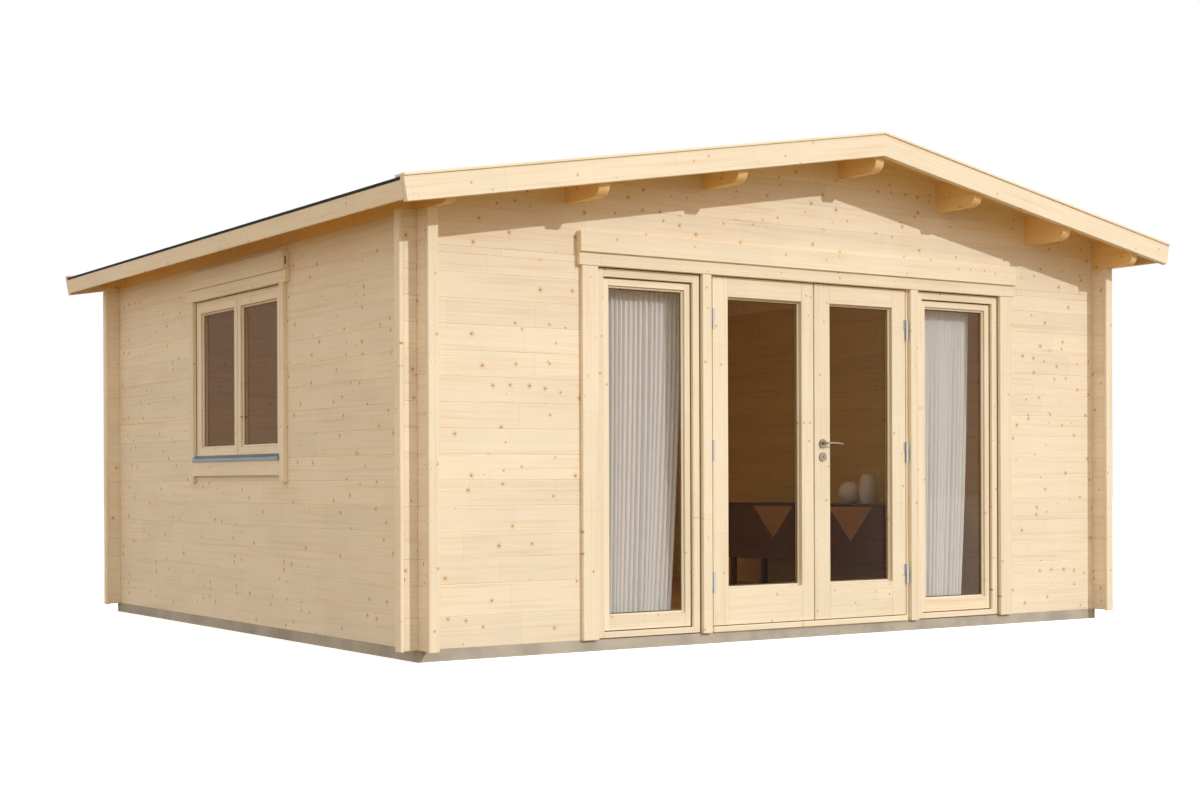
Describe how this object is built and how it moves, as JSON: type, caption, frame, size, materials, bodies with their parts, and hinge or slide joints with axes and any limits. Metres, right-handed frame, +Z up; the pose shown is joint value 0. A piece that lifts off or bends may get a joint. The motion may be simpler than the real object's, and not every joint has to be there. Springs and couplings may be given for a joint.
{
  "type": "garden chalet",
  "caption": "Small timber garden chalet with a shallow gable roof, a glazed front with hinged doors between fixed windows, and a side window.",
  "frame": {"origin": "on the ground, at the middle of the overall box", "axes": "+X to the right along the glazed front, +Y from the front to the back, +Z up"},
  "size_m": [5.536, 5.18, 2.8853],
  "materials": {
    "slab": "cast concrete",
    "pine": "planed, untreated",
    "log_ends": "planed, untreated",
    "roof_boards": "planed, untreated",
    "felt": "bitumen roofing felt",
    "steel": "satin",
    "pane": "clear",
    "sill_metal": "mill finish",
    "curtain": "fine plain weave",
    "dark_wood": "stained, satin",
    "vase": "off-white glaze",
    "floor": "planed, untreated"
  },
  "bodies": {
    "chalet": {"foundation_slab": "slab", "floor": "floor", "left_wall": "pine", "right_wall": "pine", "front_wall_left": "pine", "front_wall_right": "pine", "front_gable": "pine", "back_wall": "pine", "wall_log_ends": "log_ends", "corner_boards": "pine", "ridge_purlin": "roof_boards", "middle_purlins": "roof_boards", "eave_purlins": "roof_boards", "roof_boards_left": "roof_boards", "roof_boards_right": "roof_boards", "roof_felt_left": "felt", "roof_felt_right": "felt", "front_bargeboards": "pine", "back_bargeboards": "pine", "front_verge_strips": "pine", "back_verge_strips": "pine", "eave_boards": "pine", "front_head_casing": "pine", "front_head_board": "pine", "front_side_casings": "pine", "front_window_left": "pine", "front_window_right": "pine", "front_window_panes": "pane", "door_posts": "pine", "door_head": "pine", "door_sill": "pine", "post_hinges": "steel", "side_window_casings": "pine", "side_window_frame": "pine", "side_window_sashes": "pine", "side_window_panes": "pane", "side_window_sill": "sill_metal", "left_curtain": "curtain", "right_curtain": "curtain", "curtain_rods": "steel", "sideboard": "dark_wood", "vases": "vase"},
    "left_door": {"left_door_leaf": "pine", "left_door_pane": "pane", "left_door_hinges": "steel"},
    "right_door": {"right_door_leaf": "pine", "right_door_pane": "pane", "right_door_hinges": "steel", "handle_plates": "steel"},
    "lever": {"door_lever": "steel"}
  },
  "joints": [
    {"name": "left_door_swing", "type": "hinge", "parent": "chalet", "child": "left_door", "pos_m": [-0.656, -2.23, 1.07], "axis": [0, 0, -1], "range_deg": [0, 105]},
    {"name": "right_door_swing", "type": "hinge", "parent": "chalet", "child": "right_door", "pos_m": [0.802, -2.23, 1.07], "axis": [0, 0, 1], "range_deg": [0, 105]},
    {"name": "lever_turn", "type": "hinge", "parent": "right_door", "child": "lever", "pos_m": [0.1445, -2.22, 1.118], "axis": [0, 1, 0], "range_deg": [0, 45], "stiffness_Nm_per_rad": 1.5, "springref_deg": -28.65}
  ]
}
